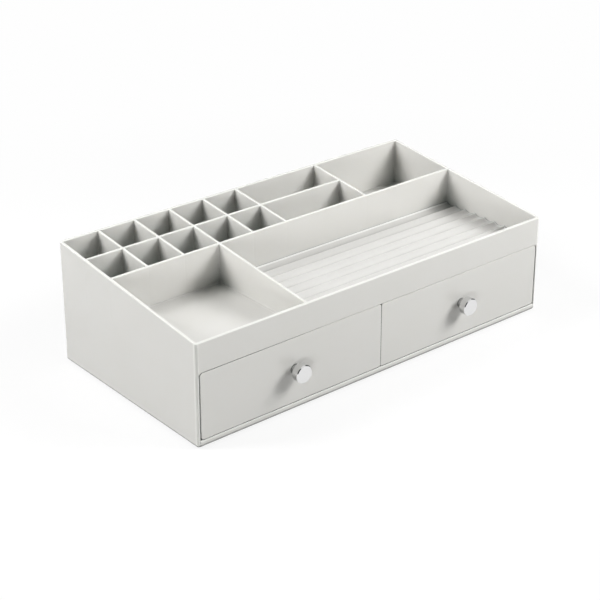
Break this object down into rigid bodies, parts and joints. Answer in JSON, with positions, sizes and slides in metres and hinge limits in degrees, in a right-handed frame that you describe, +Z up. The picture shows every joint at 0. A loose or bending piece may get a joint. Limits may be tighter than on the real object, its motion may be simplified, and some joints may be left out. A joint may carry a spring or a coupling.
{
  "type": "cosmetics organizer with drawers",
  "caption": "Desktop cosmetics organizer: a case whose rim slopes down to the front, with open slots, compartments and a fluted brush tray over side-by-side drawers with round knobs.",
  "frame": {"origin": "on the surface it stands on, under the middle of the whole object's box with the drawers shut", "axes": "+X to the right along the front, +Y from the drawer fronts to the back wall, +Z up"},
  "size_m": [0.36, 0.192, 0.106],
  "materials": {
    "moulded_plastic": "glossy light warm grey",
    "liner_plastic": "glossy light warm grey",
    "knob_chrome": "polished plated",
    "screw_steel": "zinc plated"
  },
  "bodies": {
    "case": {"case_shell": "moulded_plastic", "base_panel": "moulded_plastic", "fluted_liner": "liner_plastic"},
    "left_drawer_body": {"left_drawer": "moulded_plastic", "left_knob": "knob_chrome", "left_knob_screw": "screw_steel", "left_knob_washer": "screw_steel"},
    "right_drawer_body": {"right_drawer": "moulded_plastic", "right_knob": "knob_chrome", "right_knob_screw": "screw_steel", "right_knob_washer": "screw_steel"}
  },
  "joints": [
    {"name": "left_drawer_slide", "type": "slide", "parent": "case", "child": "left_drawer_body", "axis": [0, -1, 0], "range_m": [0, 0.14]},
    {"name": "right_drawer_slide", "type": "slide", "parent": "case", "child": "right_drawer_body", "axis": [0, -1, 0], "range_m": [0, 0.14]}
  ]
}
